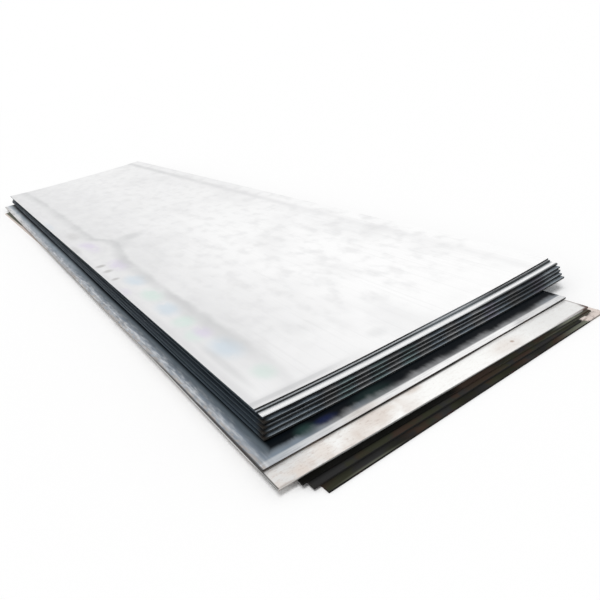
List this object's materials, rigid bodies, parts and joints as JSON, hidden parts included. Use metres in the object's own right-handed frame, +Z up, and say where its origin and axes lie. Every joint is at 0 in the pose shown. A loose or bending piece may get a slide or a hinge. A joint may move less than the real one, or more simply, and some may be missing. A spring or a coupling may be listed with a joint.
{
  "type": "stack of steel plates",
  "caption": "Flat stack of long hot-rolled steel plates, clean ones lying on weathered and rusty ones, near ends stepped.",
  "frame": {"origin": "centre of the lowest plate's underside, on the floor", "axes": "+X across the plates, +Y along them from the stepped near end to the far end, +Z up"},
  "size_m": [1.7411, 6.396, 0.1155],
  "materials": {
    "new_plate": "hot-rolled steel, thin pale mill surface with water stains",
    "weathered_plate": "weathered hot-rolled steel with rust freckles",
    "rusty_plate": "dark rusty hot-rolled steel"
  },
  "bodies": {
    "root": {"upper_plate_1": "new_plate", "upper_plate_2": "new_plate", "upper_plate_3": "new_plate", "upper_plate_4": "new_plate", "upper_plate_5": "new_plate", "upper_plate_6": "new_plate", "upper_plate_7": "new_plate", "middle_plate_1": "weathered_plate", "middle_plate_2": "weathered_plate", "bottom_plate_1": "rusty_plate", "bottom_plate_2": "rusty_plate", "bottom_plate_3": "rusty_plate"}
  },
  "joints": []
}
